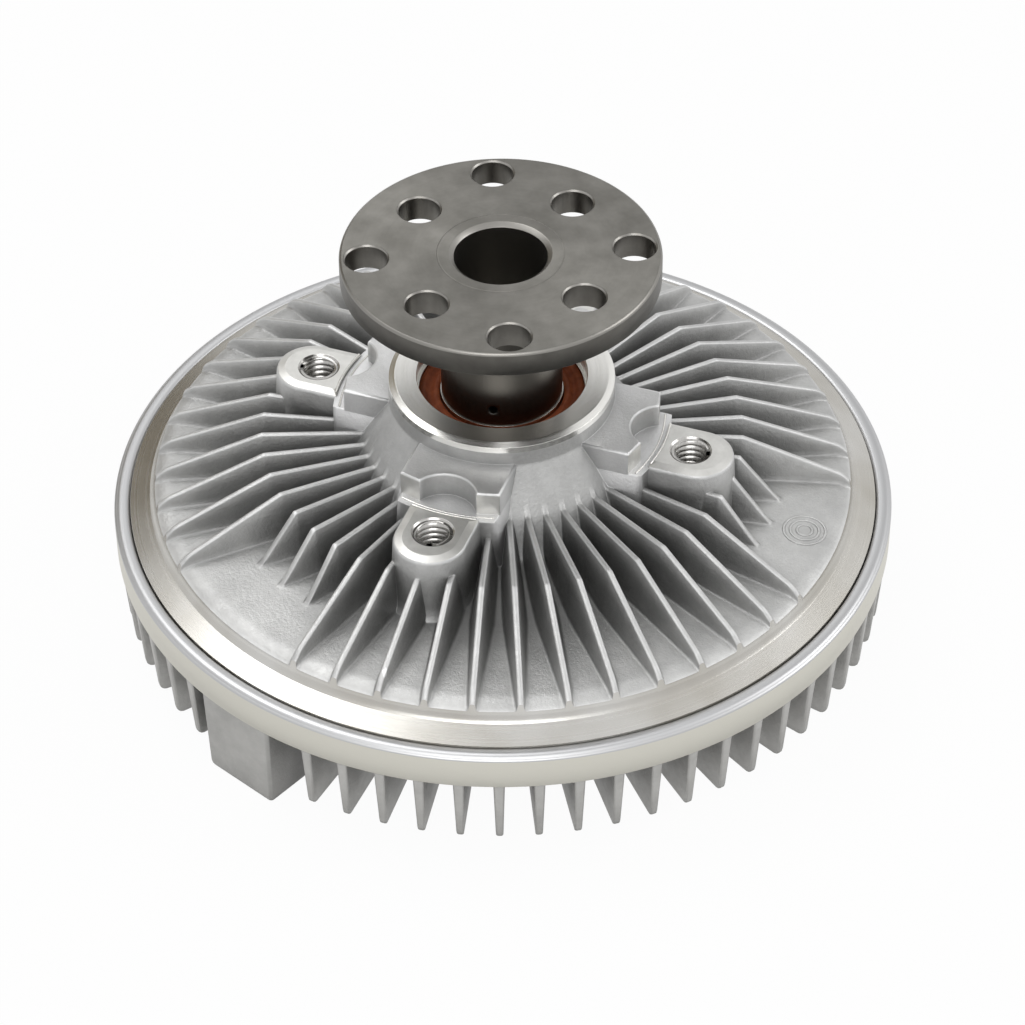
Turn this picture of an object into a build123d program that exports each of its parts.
"""Viscous fan clutch, with its front cover down and the pump flange up.

All sizes are in millimetres. The shaft's axis is Z, the foot of the front cover's block lies on
Z = 0, and angles run anticlockwise from +X when seen from the flange. "Front" is the radiator
side, which faces down.
"""

import os
from math import atan2, cos, degrees, radians, sin, tan

from build123d import *

# Front cover: rim, plate and central dish
RIM_RADIUS = 82.55
FRONT_FIN_HEIGHT = 16.0
BAND_HEIGHT = 8.05
LIP_WIDTH = 3.2
LIP_GAP = 0.25
LIP_EDGE = 0.65
COVER_WALL = 2.0
DISH_RADIUS = 34.0
RESERVOIR_DEPTH = 5.0
COVER_BOSS_RADIUS = 7.0
COVER_BOSS_OUTSIDE = 1.5

# Front fins, and the plain block that stands in for three of them and reaches lower
RIM_FIN_COUNT = 64
RIM_FIN_START = -90.9
RIM_FIN_TOP_WIDTH = 2.3
RIM_FIN_DRAFT = 1.4
RIM_FIN_TIP_SETBACK = 1.4
SHORT_RIM_FIN_INNER = 52.0
LONG_RIM_FIN_INNER = 37.0
RIM_FIN_TOE = 1.5
BLOCK_START = -138.3
BLOCK_END = -126.5
BLOCK_DROP = 4.5
BLOCK_INNER_RADIUS = 64.0

# Rear housing: rim, floor and hub
HOUSING_EDGE_HEIGHT = 3.05
RIM_WALL = 1.85
EDGE_CLEARANCE = 0.1
TURNED_RING_WIDTH = 8.8
TURNED_RING_STEP = 2.1
TURNED_RING_STEP_WIDTH = 0.6
CAST_EDGE_HEIGHT = 4.1
FLOOR_RISE = 4.1
HUB_FOOT_RADIUS = 33.5
HUB_WALL = 3.5
HUB_FACE_HEIGHT = 30.4
HUB_NECK_DROP = 5.2
HUB_CHAMFER = 1.2
HUB_OPENING_RADIUS = 17.75
HUB_SHOULDER = 3.9

# Rear fins
REAR_FIN_COUNT = 48
REAR_FIN_RIDGE_WIDTH = 1.25
REAR_FIN_DRAFT = 9.0
FIN_ROOT_DEPTH = 5.0
REAR_FIN_KINK_RADIUS = 50.5
REAR_FIN_KINK_HEIGHT = 16.25
REAR_FIN_INNER_HEIGHT = 15.8
REAR_FIN_END_HEIGHT = 6.55
SHORT_FIN_END_RADIUS = 58.2

# Fan bosses and the pilot lobes between them and the hub
BOSS_COUNT = 4
BOSS_START = -110.05
FAN_BOLT_CIRCLE = 82.55
FAN_THREAD_BORE = 6.6
FAN_THREAD_DEPTH = 16.0
BOSS_HEIGHT = 20.85
BOSS_HALF_WIDTH = 7.6
BOSS_OUTER_REACH = 9.1
BOSS_DRAFT = 2.0
FAN_PILOT_RADIUS = 33.0
PILOT_GROOVE_WIDTH = 2.2
PILOT_GROOVE_DEPTH = 0.7
LOBE_HEIGHT = 25.7
LOBE_HALF_WIDTH = 10.3
LOBE_LEDGE = 1.2
POCKET_RADIUS = 6.8
POCKET_CENTRE_RADIUS = 35.4

# Drive shaft
FLANGE_RADIUS = 32.7
FLANGE_THICKNESS = 5.6
FLANGE_HEIGHT = 61.55
NECK_RADIUS = 12.6
PILOT_BORE = 19.05
PILOT_BORE_DEPTH = 22.0
BOLT_HOLE = 8.6
OUTER_BOLT_CIRCLE = 54.3
OUTER_BOLT_START = 3.25
INNER_BOLT_CIRCLE = 44.45
INNER_BOLT_START = 48.25
VENT_HOLE = 2.0
VENT_DEPTH = 3.0
VENT_HEIGHT = 30.6
VENT_ANGLE = -98.5

# Ball bearing, 17 x 40 x 12, with plain races
BEARING_BORE = 17.0
BEARING_OUTSIDE = 40.0
BEARING_WIDTH = 12.0
INNER_RING_SHOULDER = 12.8
OUTER_RING_SHOULDER = 17.3
BALL_COUNT = 8
BALL_CLEARANCE = 0.04
CAGE_THICKNESS = 2.0
CAGE_RIM = 0.8
CAGE_CLEARANCE = 0.3
CAGE_FINGER = 2.4
SEAL_RECESS = 0.4
SEAL_THICKNESS = 1.1
SEAL_LIP_GAP = 0.2

# Rotor: the disc that the fluid drags round, and the wiper that turns the fluid back
SHELF_WIDTH = 6.5
ROTOR_EDGE_GAP = 3.2
ROTOR_THICKNESS = 2.2
ROTOR_HUB_RADIUS = 11.6
WIPER_WIDTH = 2.5
WIPER_LENGTH = 10.0
WIPER_HEIGHT = 2.6
WIPER_ANGLE = 20.0

# Reservoir, pump plate and valve
PUMP_PLATE_RADIUS = 31.0
PUMP_PLATE_THICKNESS = 1.2
PUMP_PLATE_LEDGE = 3.0
PUMP_PLATE_CLEARANCE = 0.1
PORT_FROM_AXIS = 22.0
PORT_LENGTH = 5.0
PORT_WIDTH = 3.5
PORT_ANGLE = 20.0
VALVE_SHAFT_RADIUS = 3.2
VALVE_SHAFT_CLEARANCE = 0.05
VALVE_TRAVEL = 35.0
ARM_THICKNESS = 0.8
ARM_WIDTH = 8.0
ARM_CORNER = 2.0
ARM_GAP = 0.3
SPIGOT_SIDE = 3.2

# Bimetal coil and the bracket that holds its outer end
COIL_TURNS = 3.5
COIL_FLATS = 18
COIL_INNER_RADIUS = 4.8
COIL_PITCH = 3.5
COIL_STRIP = 0.8
COIL_WIDTH = 5.0
COIL_TIP_GAP = 1.6
COIL_TANG_REACH = 2.0
COIL_TAIL_LENGTH = 6.0
COIL_TURN = 150.0
TANG_CLEARANCE = 0.15
BRACKET_STRIP = 1.2
BRACKET_WIDTH = 8.0
BRACKET_FOOT = 10.0
BRACKET_RADIUS = 19.0
BRACKET_SLOT_CLEARANCE = 0.1
SCREW_HEAD = 3.2
SCREW_HEAD_HEIGHT = 1.6

# Radii worked out from the sizes above, from the rim inwards
lip_inner_radius = RIM_RADIUS - LIP_WIDTH
ring_end = lip_inner_radius - LIP_GAP
cover_recess_radius = RIM_RADIUS - RIM_WALL
housing_edge_radius = cover_recess_radius - EDGE_CLEARANCE
turned_ring_radius = RIM_RADIUS - TURNED_RING_WIDTH
ring_step_radius = turned_ring_radius + TURNED_RING_STEP_WIDTH
chamber_radius = cover_recess_radius - SHELF_WIDTH
rotor_radius = chamber_radius - ROTOR_EDGE_GAP
fan_bolt_radius = FAN_BOLT_CIRCLE / 2
hub_radius = BEARING_OUTSIDE / 2 + HUB_WALL
ball_circle = (INNER_RING_SHOULDER + OUTER_RING_SHOULDER) / 2

# Heights worked out from the sizes above, from the block's foot upwards
fin_tip = BLOCK_DROP
band_low = fin_tip + FRONT_FIN_HEIGHT
lip_top = band_low + BAND_HEIGHT
shelf = lip_top - HOUSING_EDGE_HEIGHT
cover_floor = band_low + COVER_WALL
reservoir_floor = cover_floor - RESERVOIR_DEPTH
dish_face = reservoir_floor - COVER_WALL
boss_face_outside = dish_face - COVER_BOSS_OUTSIDE
chamber_roof = shelf
rotor_gap = (chamber_roof - cover_floor - ROTOR_THICKNESS) / 2
rotor_low = cover_floor + rotor_gap
cast_edge = lip_top + CAST_EDGE_HEIGHT
fan_face = lip_top + BOSS_HEIGHT
groove_floor = fan_face - PILOT_GROOVE_DEPTH
lobe_top = lip_top + LOBE_HEIGHT
hub_face = lip_top + HUB_FACE_HEIGHT
flange_top = lip_top + FLANGE_HEIGHT
flange_under = flange_top - FLANGE_THICKNESS
bearing_top = hub_face - HUB_SHOULDER
bearing_low = bearing_top - BEARING_WIDTH
bearing_middle = bearing_top - BEARING_WIDTH / 2
plate_seat = cover_floor - PUMP_PLATE_THICKNESS
arm_top = plate_seat - ARM_GAP
arm_low = arm_top - ARM_THICKNESS
coil_low = fin_tip + COIL_TIP_GAP
plate_recess_radius = PUMP_PLATE_RADIUS + PUMP_PLATE_CLEARANCE
reservoir_radius = PUMP_PLATE_RADIUS - PUMP_PLATE_LEDGE

rear_fin_step = 360 / REAR_FIN_COUNT
rim_fin_step = 360 / RIM_FIN_COUNT


def section(*points):
    """A closed outline of (radius, height) points on the upright plane, ready to revolve."""
    with BuildSketch(Plane.XZ) as outline:
        with BuildLine():
            Polyline(*points, close=True)
        make_face()
    return outline.sketch


def ring(inner, outer, low, high):
    """The rectangular section of a plain ring."""
    return section((inner, low), (outer, low), (outer, high), (inner, high))


def spokes(angles):
    """Places on the axis, each turned to one of the angles."""
    return Locations(*[Location((0, 0, 0), (0, 0, angle)) for angle in angles])


def polar(radius, angle):
    """The plan point at a radius and an angle in degrees."""
    return (radius * cos(radians(angle)), radius * sin(radians(angle)))


# Rear fins: long ones run from the hub to the turned ring, short ones stop at the smooth pads.
fins_per_boss = REAR_FIN_COUNT // BOSS_COUNT
short_fin_places = [-5, -4, -3, fins_per_boss - 1, fins_per_boss, fins_per_boss + 1]
long_fin_places = [n for n in range(-5, REAR_FIN_COUNT - 5) if n not in short_fin_places]
fin_root = chamber_roof + FIN_ROOT_DEPTH
ridge_inner = lip_top + REAR_FIN_INNER_HEIGHT
ridge_kink = lip_top + REAR_FIN_KINK_HEIGHT
ridge_end = lip_top + REAR_FIN_END_HEIGHT
long_fin_end = turned_ring_radius - 0.5


def drafted_bar(start, end):
    """A bar under the ridge from one (radius, height) to another, its sides leaning out downwards."""
    run = Vector(end[0] - start[0], 0, end[1] - start[1])
    depth = max(start[1], end[1]) - fin_root + run.length / 4
    foot = REAR_FIN_RIDGE_WIDTH / 2 + depth * tan(radians(REAR_FIN_DRAFT))
    across = Plane(origin=(start[0], 0, start[1]), x_dir=(0, 1, 0), z_dir=run)
    with BuildPart() as bar:
        with BuildSketch(across):
            with BuildLine():
                Polyline(
                    (-REAR_FIN_RIDGE_WIDTH / 2, 0),
                    (REAR_FIN_RIDGE_WIDTH / 2, 0),
                    (foot, depth * across.y_dir.Z * -1),
                    (-foot, depth * across.y_dir.Z * -1),
                    close=True,
                )
            make_face()
        extrude(amount=run.length + depth, both=True)
    return bar.part


def rear_fin(end_radius):
    """A rear fin: level from the hub to the kink, then falling to its end on the floor."""
    inner = (hub_radius, ridge_inner)
    kink = (REAR_FIN_KINK_RADIUS, ridge_kink)
    end = (end_radius, ridge_end)
    reach = 2 * (ridge_kink - fin_root)
    level_bar = drafted_bar(inner, kink)
    falling_bar = drafted_bar(kink, end)
    with BuildPart() as level:
        extrude(section((hub_radius, fin_root), (kink[0], fin_root), kink, inner), amount=reach, both=True)
        add(level_bar, mode=Mode.INTERSECT)
    with BuildPart() as falling:
        extrude(section((kink[0], fin_root), (end[0], fin_root), end, kink), amount=reach, both=True)
        add(falling_bar, mode=Mode.INTERSECT)
    return level.part + falling.part


long_fin = rear_fin(long_fin_end)
short_fin = rear_fin(SHORT_FIN_END_RADIUS)

# A fan boss: a tongue-shaped pillar, wider at its foot by the draft
boss_height = fan_face - fin_root
boss_spread = boss_height * tan(radians(BOSS_DRAFT))
with BuildPart() as boss:
    with BuildSketch(Plane.XY.offset(fin_root)):
        boss_round = fan_bolt_radius + BOSS_OUTER_REACH - BOSS_HALF_WIDTH
        with Locations((boss_round, 0)):
            Circle(BOSS_HALF_WIDTH)
        with Locations(((hub_radius + boss_round) / 2, 0)):
            Rectangle(boss_round - hub_radius, 2 * BOSS_HALF_WIDTH)
        offset(amount=boss_spread)
    extrude(amount=boss_height, taper=BOSS_DRAFT)

# A pilot lobe: a block from the hub to the fan's pilot, pocketed for the fan's bolt boss
lobe_reach = FAN_PILOT_RADIUS + LOBE_LEDGE
lobe_inner = BEARING_OUTSIDE / 2 + 1.0
with BuildPart() as lobe:
    with BuildSketch(Plane.XY.offset(fin_root)):
        with Locations(((lobe_inner + lobe_reach) / 2, 0)):
            Rectangle(lobe_reach - lobe_inner, 2 * LOBE_HALF_WIDTH + 2 * boss_spread)
    extrude(amount=lobe_top - fin_root, taper=BOSS_DRAFT)

# Rear housing: one casting, turned at the rim, the hub and the fan seats.
# The floor and the hub's cone are cast with one flat between each pair of fins.
hub_foot_top = cast_edge + FLOOR_RISE
neck_low = hub_face - HUB_NECK_DROP
ring_root = cast_edge - TURNED_RING_STEP


def cast_flats(low_radius, high_radius, low, high):
    """A many-sided frustum with one side between each pair of fins."""
    slope = degrees(atan2(low_radius - high_radius, high - low))
    with BuildPart() as frustum:
        with BuildSketch(Plane.XY.offset(low)):
            RegularPolygon(
                low_radius, REAR_FIN_COUNT, major_radius=False, rotation=BOSS_START + rear_fin_step / 2
            )
        extrude(amount=high - low, taper=slope)
    return frustum.part


cast_floor = cast_flats(turned_ring_radius, HUB_FOOT_RADIUS, cast_edge, hub_foot_top)
cast_hub = cast_flats(HUB_FOOT_RADIUS, hub_radius + 0.1, hub_foot_top, neck_low)
with BuildPart() as rear_housing:
    with BuildSketch(Plane.XY.offset(chamber_roof)):
        RegularPolygon(
            turned_ring_radius, REAR_FIN_COUNT, major_radius=False, rotation=BOSS_START + rear_fin_step / 2
        )
    extrude(amount=cast_edge - chamber_roof)
    add(cast_floor)
    add(cast_hub)
    with spokes(BOSS_START + rear_fin_step * n for n in long_fin_places):
        add(long_fin)
    with spokes(BOSS_START + rear_fin_step * n for n in short_fin_places):
        add(short_fin)
    with PolarLocations(0, BOSS_COUNT, start_angle=BOSS_START):
        add(boss.part)
        add(lobe.part)
    # Turned rim: the bright ring outside the cast floor, and the bevelled edge that the cover grips
    revolve(
        section(
            (HUB_FOOT_RADIUS, chamber_roof),
            (HUB_FOOT_RADIUS, ring_root),
            (ring_step_radius, ring_root),
            (ring_end, lip_top),
            (housing_edge_radius, chamber_roof),
        ),
        axis=Axis.Z,
    )
    # The hub's turned end, and its bore with the shoulder that the bearing sits against
    revolve(
        section(
            (HUB_OPENING_RADIUS - 1, neck_low),
            (HUB_OPENING_RADIUS - 1, hub_face),
            (hub_radius - HUB_CHAMFER, hub_face),
            (hub_radius, hub_face - HUB_CHAMFER / 2),
            (hub_radius, neck_low),
        ),
        axis=Axis.Z,
    )
    with BuildSketch(Plane.XY.offset(hub_face)):
        Circle(HUB_OPENING_RADIUS)
    extrude(amount=-HUB_SHOULDER, mode=Mode.SUBTRACT)
    with BuildSketch(Plane.XY.offset(bearing_top)):
        Circle(BEARING_OUTSIDE / 2)
    extrude(amount=chamber_roof - bearing_top, mode=Mode.SUBTRACT)
    # The fan's pilot is turned on the lobes, with a relief groove at its foot
    groove_outer = FAN_PILOT_RADIUS + PILOT_GROOVE_WIDTH
    revolve(ring(FAN_PILOT_RADIUS, groove_outer, groove_floor, lobe_top + 1), axis=Axis.Z, mode=Mode.SUBTRACT)
    with BuildSketch(Plane.XY.offset(groove_floor)):
        with PolarLocations(POCKET_CENTRE_RADIUS, BOSS_COUNT, start_angle=BOSS_START):
            Circle(POCKET_RADIUS)
        Circle(groove_outer, mode=Mode.INTERSECT)
    extrude(amount=lobe_top - groove_floor + 1, mode=Mode.SUBTRACT)
    # Tapped holes for the fan bolts, at the size of their thread's crests
    with BuildSketch(Plane.XY.offset(fan_face)):
        with PolarLocations(fan_bolt_radius, BOSS_COUNT, start_angle=BOSS_START):
            Circle(FAN_THREAD_BORE / 2)
    extrude(amount=-FAN_THREAD_DEPTH, mode=Mode.SUBTRACT)
rear_housing.part.label = "rear_housing"

# Front fins: each stands on the plate, drafted down to its tip
def front_fin_profile(inner_radius):
    """A front fin seen from the side: its outer end leans in, its inner end leans out."""
    return section(
        (inner_radius, band_low + 1),
        (RIM_RADIUS - 0.3, band_low + 1),
        (RIM_RADIUS - 0.3, band_low),
        (RIM_RADIUS - RIM_FIN_TIP_SETBACK, fin_tip),
        (inner_radius + RIM_FIN_TOE, fin_tip),
        (inner_radius, band_low),
    )


with BuildPart() as front_fin_envelope:
    with BuildSketch(Plane.XY.offset(band_low + 1)):
        with Locations((RIM_RADIUS / 2, 0)):
            Rectangle(RIM_RADIUS, RIM_FIN_TOP_WIDTH)
    extrude(amount=-FRONT_FIN_HEIGHT - 1, taper=RIM_FIN_DRAFT)

with BuildPart() as short_rim_fin:
    extrude(front_fin_profile(SHORT_RIM_FIN_INNER), amount=RIM_FIN_TOP_WIDTH, both=True)
    add(front_fin_envelope.part, mode=Mode.INTERSECT)

with BuildPart() as long_rim_fin:
    extrude(front_fin_profile(LONG_RIM_FIN_INNER), amount=RIM_FIN_TOP_WIDTH, both=True)
    add(front_fin_envelope.part, mode=Mode.INTERSECT)


def rim_fin_angles(places):
    """Angles of the front fins in a set of places, less those that the block takes up."""
    angles = [RIM_FIN_START + rim_fin_step * n for n in places]
    return [a for a in angles if not BLOCK_START < (a + 180) % 360 - 180 < BLOCK_END]


# Front cover: plate, dish and rim in one casting, with the lip swaged over the housing's bevelled edge
valve_bore_radius = VALVE_SHAFT_RADIUS + VALVE_SHAFT_CLEARANCE
block_turn = (BLOCK_START + BLOCK_END) / 2
block_half_span = radians((BLOCK_END - BLOCK_START) / 2)
block_chord = 2 * RIM_RADIUS * sin(block_half_span)
block_flat = RIM_RADIUS * cos(block_half_span)
with BuildPart() as front_cover:
    revolve(
        section(
            (valve_bore_radius, boss_face_outside),
            (COVER_BOSS_RADIUS, boss_face_outside),
            (COVER_BOSS_RADIUS, dish_face),
            (DISH_RADIUS, dish_face),
            (DISH_RADIUS, band_low),
            (RIM_RADIUS, band_low),
            (RIM_RADIUS, lip_top - LIP_EDGE),
            (RIM_RADIUS - LIP_EDGE, lip_top),
            (lip_inner_radius, lip_top),
            (cover_recess_radius, shelf),
            (chamber_radius, shelf),
            (chamber_radius, cover_floor),
            (plate_recess_radius, cover_floor),
            (plate_recess_radius, plate_seat),
            (reservoir_radius, plate_seat),
            (reservoir_radius, reservoir_floor),
            (valve_bore_radius, reservoir_floor),
        ),
        axis=Axis.Z,
    )
    with spokes(rim_fin_angles(range(1, RIM_FIN_COUNT, 2))):
        add(short_rim_fin.part)
    with spokes(rim_fin_angles(range(0, RIM_FIN_COUNT, 2))):
        add(long_rim_fin.part)
    # The plain block among the fins, flat on its outer face
    with BuildSketch(Plane.XY.offset(band_low)):
        with spokes([block_turn]):
            with Locations(((BLOCK_INNER_RADIUS + block_flat) / 2, 0)):
                Rectangle(block_flat - BLOCK_INNER_RADIUS, block_chord)
    extrude(amount=-band_low, taper=RIM_FIN_DRAFT)
front_cover.part.label = "front_cover"

# Drive shaft: flange, neck and the long seat of bearing and rotor in one forging
shaft_end = rotor_low
bore_bottom = flange_top - PILOT_BORE_DEPTH
with BuildPart() as drive_shaft:
    revolve(
        section(
            (0, shaft_end),
            (BEARING_BORE / 2, shaft_end),
            (BEARING_BORE / 2, bearing_top),
            (NECK_RADIUS, bearing_top),
            (NECK_RADIUS, flange_under),
            (FLANGE_RADIUS, flange_under),
            (FLANGE_RADIUS, flange_top),
            (PILOT_BORE / 2, flange_top),
            (PILOT_BORE / 2, bore_bottom),
            (0, bore_bottom),
        ),
        axis=Axis.Z,
    )
    with BuildSketch(Plane.XY.offset(flange_top)):
        with PolarLocations(OUTER_BOLT_CIRCLE / 2, 4, start_angle=OUTER_BOLT_START):
            Circle(BOLT_HOLE / 2)
        with PolarLocations(INNER_BOLT_CIRCLE / 2, 4, start_angle=INNER_BOLT_START):
            Circle(BOLT_HOLE / 2)
    extrude(amount=-FLANGE_THICKNESS, mode=Mode.SUBTRACT)
    # The small hole that the photo shows low on the neck
    vent_mouth = (*polar(NECK_RADIUS, VENT_ANGLE), lip_top + VENT_HEIGHT)
    with BuildSketch(Plane(origin=vent_mouth, z_dir=(*polar(1, VENT_ANGLE), 0))):
        Circle(VENT_HOLE / 2)
    extrude(amount=-VENT_DEPTH, mode=Mode.SUBTRACT)
drive_shaft.part.label = "drive_shaft"

# Bearing rings
with BuildPart() as bearing_inner_ring:
    revolve(ring(BEARING_BORE / 2, INNER_RING_SHOULDER, bearing_low, bearing_top), axis=Axis.Z)
bearing_inner_ring.part.label = "bearing_inner_ring"

with BuildPart() as bearing_outer_ring:
    revolve(ring(OUTER_RING_SHOULDER, BEARING_OUTSIDE / 2, bearing_low, bearing_top), axis=Axis.Z)
bearing_outer_ring.part.label = "bearing_outer_ring"

# Balls, cut with flats: three crossed eight-sided bars leave one ball
ball_radius = (OUTER_RING_SHOULDER - INNER_RING_SHOULDER) / 2 - BALL_CLEARANCE
with BuildPart() as ball:
    with BuildSketch(Plane.XY):
        RegularPolygon(ball_radius, 8, rotation=22.5)
    extrude(amount=ball_radius, both=True)
    for side in (Plane.XZ, Plane.YZ):
        with BuildSketch(side):
            RegularPolygon(ball_radius, 8, rotation=22.5)
        extrude(amount=ball_radius, both=True, mode=Mode.INTERSECT)

with BuildPart() as bearing_balls:
    with Locations((0, 0, bearing_middle)):
        with PolarLocations(ball_circle, BALL_COUNT):
            add(ball.part)
bearing_balls.part.label = "bearing_balls"

# Cage: a rim of flats beside the balls, with a finger between each pair of balls
cage_low = bearing_middle + ball_radius + CAGE_CLEARANCE
with BuildPart() as bearing_cage:
    with BuildSketch(Plane.XY.offset(cage_low)):
        RegularPolygon(ball_circle + CAGE_THICKNESS / 2, 2 * BALL_COUNT)
        RegularPolygon(ball_circle - CAGE_THICKNESS / 2, 2 * BALL_COUNT, mode=Mode.SUBTRACT)
    extrude(amount=CAGE_RIM)
    with BuildSketch(Plane.XY.offset(cage_low)):
        with PolarLocations(ball_circle - CAGE_FINGER / 4, BALL_COUNT, start_angle=180 / BALL_COUNT):
            Rectangle(CAGE_FINGER / 2, CAGE_FINGER)
    extrude(amount=bearing_middle - ball_radius / 2 - cage_low)
bearing_cage.part.label = "bearing_cage"

with BuildPart() as bearing_rear_seal:
    seal_top = bearing_top - SEAL_RECESS
    seal_lip = INNER_RING_SHOULDER + SEAL_LIP_GAP
    revolve(ring(seal_lip, OUTER_RING_SHOULDER, seal_top - SEAL_THICKNESS, seal_top), axis=Axis.Z)
bearing_rear_seal.part.label = "bearing_rear_seal"

# Rotor: disc and hub in one, pressed on the shaft up to the bearing
with BuildPart() as rotor:
    rotor_top = rotor_low + ROTOR_THICKNESS
    revolve(
        section(
            (BEARING_BORE / 2, rotor_low),
            (rotor_radius, rotor_low),
            (rotor_radius, rotor_top),
            (ROTOR_HUB_RADIUS, rotor_top),
            (ROTOR_HUB_RADIUS, bearing_low),
            (BEARING_BORE / 2, bearing_low),
        ),
        axis=Axis.Z,
    )
rotor.part.label = "rotor"

with BuildPart() as fluid_wiper:
    with BuildSketch(Plane.XY.offset(cover_floor)):
        with spokes([WIPER_ANGLE]):
            with Locations((chamber_radius - WIPER_WIDTH / 2 - EDGE_CLEARANCE, 0)):
                Rectangle(WIPER_WIDTH, WIPER_LENGTH)
        Circle(chamber_radius - EDGE_CLEARANCE, mode=Mode.INTERSECT)
    extrude(amount=WIPER_HEIGHT)
fluid_wiper.part.label = "fluid_wiper"

# Pump plate: flush in the cover's floor, with one port into the reservoir
with BuildPart() as pump_plate:
    with BuildSketch(Plane.XY.offset(plate_seat)):
        Circle(PUMP_PLATE_RADIUS)
        with spokes([PORT_ANGLE]):
            with Locations((PORT_FROM_AXIS, 0)):
                Rectangle(PORT_LENGTH, PORT_WIDTH, mode=Mode.SUBTRACT)
    extrude(amount=PUMP_PLATE_THICKNESS)
pump_plate.part.label = "pump_plate"

# Valve arm: its pad closes the port from the reservoir side
with BuildPart() as valve_arm:
    with BuildSketch(Plane.XY.offset(arm_low)):
        with spokes([PORT_ANGLE]):
            with Locations((PORT_FROM_AXIS / 2, 0)):
                Rectangle(PORT_FROM_AXIS + ARM_WIDTH, ARM_WIDTH)
            chamfer(vertices(), ARM_CORNER)
            Rectangle(SPIGOT_SIDE, SPIGOT_SIDE, mode=Mode.SUBTRACT)
    extrude(amount=ARM_THICKNESS)
valve_arm.part.label = "valve_arm"

# Valve shaft: a pin through the cover, slotted at its foot for the coil's inner end.
# The slot is a bow tie, so the pin turns through the valve's travel past the coil.
slot_half = COIL_STRIP / 2 + TANG_CLEARANCE
with BuildPart() as valve_shaft:
    with BuildSketch(Plane.XY.offset(coil_low)):
        Circle(VALVE_SHAFT_RADIUS)
    extrude(amount=arm_low - coil_low)
    with BuildSketch(Plane.XY.offset(arm_low)):
        with spokes([PORT_ANGLE]):
            Rectangle(SPIGOT_SIDE, SPIGOT_SIDE)
    extrude(amount=ARM_THICKNESS)
    with BuildSketch(Plane.XY.offset(coil_low)):
        with spokes([COIL_TURN - VALVE_TRAVEL, COIL_TURN]):
            Rectangle(2 * VALVE_SHAFT_RADIUS + 1, 2 * slot_half)
        for way in (0, 180):
            with BuildLine():
                Polyline(
                    (0, 0),
                    polar(VALVE_SHAFT_RADIUS + 1, COIL_TURN + way),
                    polar(VALVE_SHAFT_RADIUS + 1, COIL_TURN + way - VALVE_TRAVEL),
                    close=True,
                )
            make_face()
    extrude(amount=COIL_WIDTH + ARM_GAP, mode=Mode.SUBTRACT)
valve_shaft.part.label = "valve_shaft"

# Bimetal coil: a spiral of short flats, with a tang inwards and a tail outwards
coil_plane = Plane(origin=(0, 0, coil_low), x_dir=(*polar(1, COIL_TURN), 0), z_dir=(0, 0, 1))
coil_steps = round(COIL_TURNS * COIL_FLATS)
coil_end = COIL_INNER_RADIUS + COIL_PITCH * COIL_TURNS


def coil_point(step):
    """A point on the spiral, a number of flats from its inner end."""
    turns = step / COIL_FLATS
    return polar(COIL_INNER_RADIUS + COIL_PITCH * turns, 360 * turns)


with BuildPart() as bimetal_coil:
    with BuildSketch(coil_plane):
        with BuildLine():
            Polyline(
                (-COIL_TANG_REACH, 0),
                *[coil_point(step) for step in range(coil_steps + 1)],
                (-coil_end - COIL_TAIL_LENGTH, 0),
            )
        trace(line_width=COIL_STRIP)
    extrude(amount=COIL_WIDTH)
bimetal_coil.part.label = "bimetal_coil"

# Coil bracket: foot on the dish, leg down to the coil's tail, which sits in its slot
with BuildPart() as coil_bracket:
    with BuildSketch(Plane(origin=(0, 0, dish_face), x_dir=coil_plane.x_dir, z_dir=(0, 0, -1))):
        with Locations((-BRACKET_RADIUS - BRACKET_FOOT / 2, 0)):
            Rectangle(BRACKET_FOOT, BRACKET_WIDTH)
    extrude(amount=BRACKET_STRIP)
    with BuildSketch(coil_plane):
        with Locations((-BRACKET_RADIUS - BRACKET_STRIP / 2, 0)):
            Rectangle(BRACKET_STRIP, BRACKET_WIDTH)
    extrude(amount=dish_face - coil_low)
    with BuildSketch(coil_plane):
        with Locations((-BRACKET_RADIUS - BRACKET_STRIP / 2, 0)):
            Rectangle(2 * BRACKET_STRIP, COIL_STRIP + 2 * BRACKET_SLOT_CLEARANCE)
    extrude(amount=COIL_WIDTH + BRACKET_SLOT_CLEARANCE, mode=Mode.SUBTRACT)
coil_bracket.part.label = "coil_bracket"

# Bracket screws: six-sided heads below the foot, shanks in the cover
with BuildPart() as coil_bracket_screws:
    screw_places = [(-BRACKET_RADIUS - BRACKET_FOOT / 2, side * BRACKET_WIDTH / 4) for side in (-1, 1)]
    with BuildSketch(Plane(origin=(0, 0, dish_face - BRACKET_STRIP), x_dir=coil_plane.x_dir, z_dir=(0, 0, -1))):
        with Locations(*screw_places):
            RegularPolygon(SCREW_HEAD / 2, 6, major_radius=False)
    extrude(amount=SCREW_HEAD_HEIGHT)
coil_bracket_screws.part.label = "coil_bracket_screws"

os.makedirs("parts", exist_ok=True)
for piece in (
    rear_housing,
    front_cover,
    drive_shaft,
    bearing_rear_seal,
    bearing_inner_ring,
    bearing_outer_ring,
    bearing_balls,
    bearing_cage,
    rotor,
    fluid_wiper,
    pump_plate,
    valve_arm,
    valve_shaft,
    bimetal_coil,
    coil_bracket,
    coil_bracket_screws,
):
    export_step(piece.part, f"parts/{piece.part.label}.step")
    print(piece.part.label, len(piece.part.solids()), round(piece.part.volume), piece.part.bounding_box())
